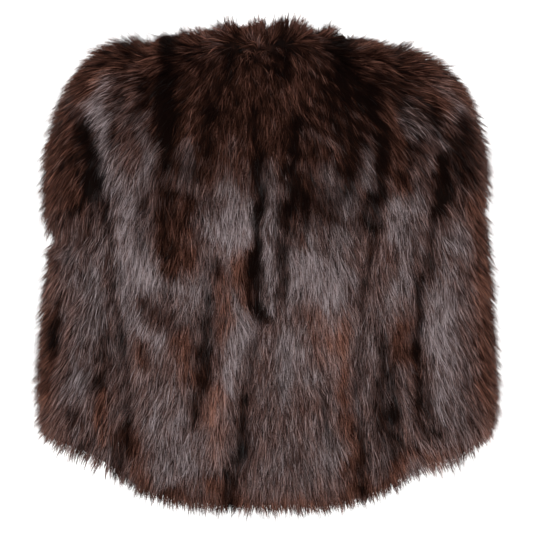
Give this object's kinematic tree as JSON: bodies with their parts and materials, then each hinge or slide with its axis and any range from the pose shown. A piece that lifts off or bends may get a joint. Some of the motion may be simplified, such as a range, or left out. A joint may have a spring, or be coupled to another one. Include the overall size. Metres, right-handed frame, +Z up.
{
  "type": "fur collar wrap",
  "caption": "Hip-length cape of long dark brown fur with a deep turned-down collar, open at the front, held out in its worn shape as a hollow shell.",
  "frame": {"origin": "middle of the shoulder line at the base of the neck, where the wearer's shoulders hold the wrap", "axes": "+Z up, +Y the way the wearer faces, so the back of the wrap faces -Y; +X towards the wearer's right arm"},
  "size_m": [0.557, 0.321, 0.567],
  "materials": {
    "fur": "long glossy pile",
    "collar_fur": "long glossy pile"
  },
  "bodies": {
    "root": {"back": "fur", "left_side": "fur", "right_side": "fur", "left_front": "fur", "right_front": "fur", "collar": "collar_fur"}
  },
  "joints": []
}
